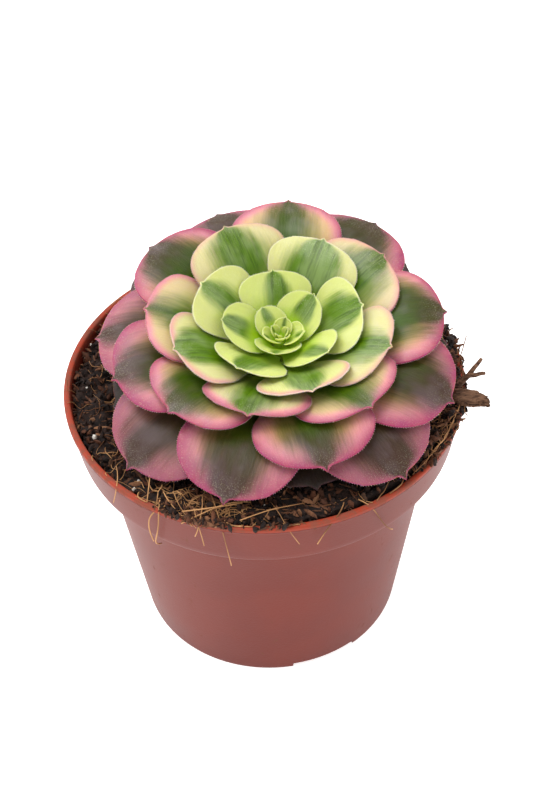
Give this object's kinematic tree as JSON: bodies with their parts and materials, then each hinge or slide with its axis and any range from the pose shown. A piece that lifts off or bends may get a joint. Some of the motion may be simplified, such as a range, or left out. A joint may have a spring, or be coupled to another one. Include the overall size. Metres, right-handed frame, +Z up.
{
  "type": "potted aeonium",
  "caption": "Rosette succulent with spoon-shaped variegated leaves on a short stem, standing in soil in a small round plastic pot with a wide collar.",
  "frame": {"origin": "middle of the foot of the whole object's box, on the surface that the pot stands on", "axes": "+Z up along the pot's axis, -Y towards the side that the rosette leans to, +X towards the side where the bark and the twig stick out over the rim"},
  "size_m": [0.0888, 0.085, 0.0871],
  "materials": {
    "pot_plastic": "brick red moulded polypropylene, semi-matt, with a lighter orange rim",
    "potting_soil": "dark crumbly peat and coir with straw-coloured fibres and white perlite",
    "stem": "dull green-brown with leaf scars",
    "young_leaf": "waxy, lime green with cream margins",
    "middle_leaf": "waxy, green stripe, cream blade and pink margins",
    "outer_leaf": "waxy, brown-green middle and magenta margins, fine powdery speckle",
    "withered_leaf": "dull, wrinkled purple-brown",
    "bark": "dry brown bark and twig"
  },
  "bodies": {
    "root": {"pot": "pot_plastic", "soil": "potting_soil", "stem": "stem", "heart": "young_leaf", "leaf_01": "young_leaf", "leaf_02": "young_leaf", "leaf_03": "young_leaf", "leaf_04": "young_leaf", "leaf_05": "young_leaf", "leaf_06": "young_leaf", "leaf_07": "young_leaf", "leaf_08": "young_leaf", "leaf_09": "middle_leaf", "leaf_10": "middle_leaf", "leaf_11": "middle_leaf", "leaf_12": "middle_leaf", "leaf_13": "middle_leaf", "leaf_14": "middle_leaf", "leaf_15": "middle_leaf", "leaf_16": "middle_leaf", "leaf_17": "middle_leaf", "leaf_18": "middle_leaf", "leaf_19": "middle_leaf", "leaf_20": "middle_leaf", "leaf_21": "outer_leaf", "leaf_22": "outer_leaf", "leaf_23": "outer_leaf", "leaf_24": "outer_leaf", "leaf_25": "outer_leaf", "leaf_26": "outer_leaf", "leaf_27": "outer_leaf", "leaf_28": "outer_leaf", "leaf_30": "outer_leaf", "leaf_31": "outer_leaf", "leaf_32": "outer_leaf", "leaf_33": "outer_leaf", "leaf_34": "outer_leaf", "leaf_35": "withered_leaf", "leaf_36": "withered_leaf", "leaf_37": "withered_leaf", "leaf_38": "withered_leaf", "bark_chip": "bark", "forked_twig": "bark"}
  },
  "joints": []
}
